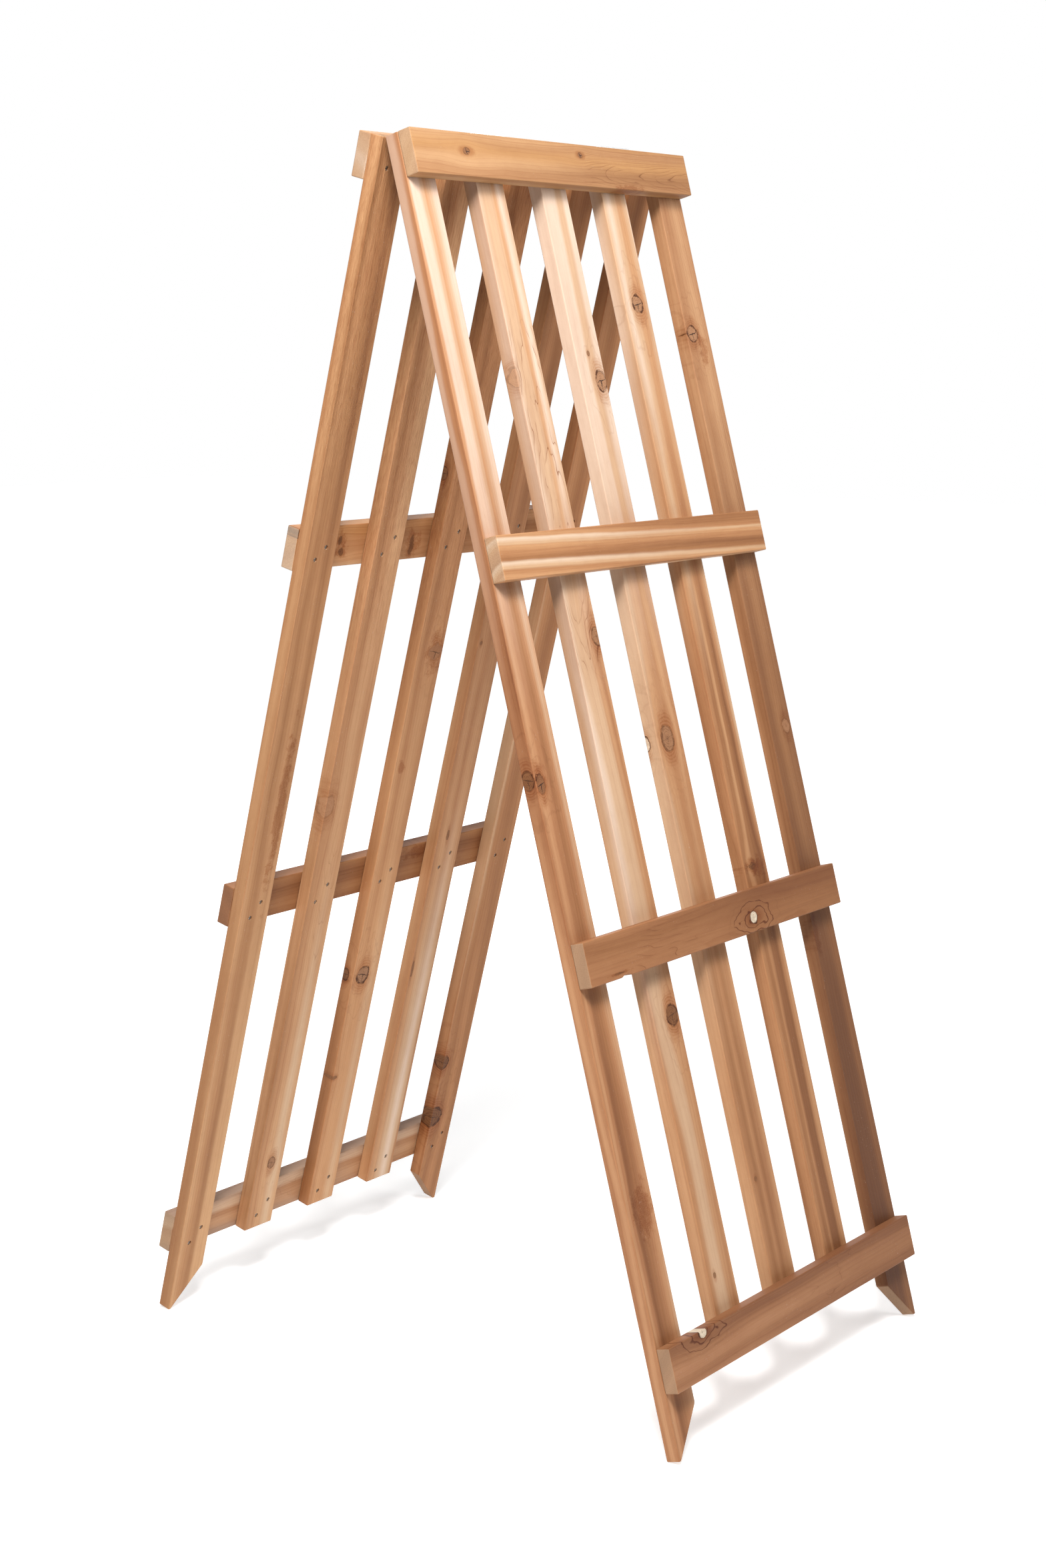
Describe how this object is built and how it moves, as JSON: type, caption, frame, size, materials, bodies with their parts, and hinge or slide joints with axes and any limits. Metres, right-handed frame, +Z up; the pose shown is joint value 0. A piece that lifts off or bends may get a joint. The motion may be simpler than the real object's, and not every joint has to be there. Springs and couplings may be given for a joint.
{
  "type": "folding a-frame drying rack",
  "caption": "Folding A-frame rack of slatted cedar panels, hinged along the top, with pointed feet, for hanging laundry or training plants.",
  "frame": {"origin": "on the ground, midway between the four feet", "axes": "+Z up, +X along the ridge, -Y towards the front panel"},
  "size_m": [0.406, 0.595, 1.0826],
  "materials": {
    "cedar_slat": "planed unfinished red cedar, matt, with knots and banded grain",
    "cedar_rail": "planed unfinished red cedar, matt, with knots and banded grain",
    "zinc_hinge": "bright zinc plate",
    "screw_steel": "zinc-plated steel"
  },
  "bodies": {
    "front_panel": {"front_bottom_left_lower_screw": "screw_steel", "front_bottom_left_upper_screw": "screw_steel", "front_bottom_rail": "cedar_rail", "front_bottom_right_lower_screw": "screw_steel", "front_bottom_right_upper_screw": "screw_steel", "front_lower_rail": "cedar_rail", "front_slat_1": "cedar_slat", "front_slat_2": "cedar_slat", "front_slat_3": "cedar_slat", "front_slat_4": "cedar_slat", "front_slat_5": "cedar_slat", "front_top_left_lower_screw": "screw_steel", "front_top_left_upper_screw": "screw_steel", "front_top_rail": "cedar_rail", "front_top_right_lower_screw": "screw_steel", "front_top_right_upper_screw": "screw_steel", "front_upper_rail": "cedar_rail", "left_hinge_front_leaf": "zinc_hinge", "left_hinge_front_screw_1": "screw_steel", "left_hinge_front_screw_2": "screw_steel", "left_hinge_front_screw_3": "screw_steel", "left_hinge_pin": "zinc_hinge", "right_hinge_front_leaf": "zinc_hinge", "right_hinge_front_screw_1": "screw_steel", "right_hinge_front_screw_2": "screw_steel", "right_hinge_front_screw_3": "screw_steel", "right_hinge_pin": "zinc_hinge"},
    "back_panel": {"back_bottom_left_lower_screw": "screw_steel", "back_bottom_left_upper_screw": "screw_steel", "back_bottom_rail": "cedar_rail", "back_bottom_right_lower_screw": "screw_steel", "back_bottom_right_upper_screw": "screw_steel", "back_lower_rail": "cedar_rail", "back_slat_1": "cedar_slat", "back_slat_2": "cedar_slat", "back_slat_3": "cedar_slat", "back_slat_4": "cedar_slat", "back_slat_5": "cedar_slat", "back_top_left_lower_screw": "screw_steel", "back_top_left_upper_screw": "screw_steel", "back_top_rail": "cedar_rail", "back_top_right_lower_screw": "screw_steel", "back_top_right_upper_screw": "screw_steel", "back_upper_rail": "cedar_rail", "left_hinge_back_leaf": "zinc_hinge", "left_hinge_back_screw_1": "screw_steel", "left_hinge_back_screw_2": "screw_steel", "left_hinge_back_screw_3": "screw_steel", "right_hinge_back_leaf": "zinc_hinge", "right_hinge_back_screw_1": "screw_steel", "right_hinge_back_screw_2": "screw_steel", "right_hinge_back_screw_3": "screw_steel"}
  },
  "joints": [
    {"name": "fold_hinge", "type": "hinge", "parent": "front_panel", "child": "back_panel", "pos_m": [0, 0, 1.07771], "axis": [1, 0, 0], "range_deg": [-29.6, 150.4]}
  ]
}
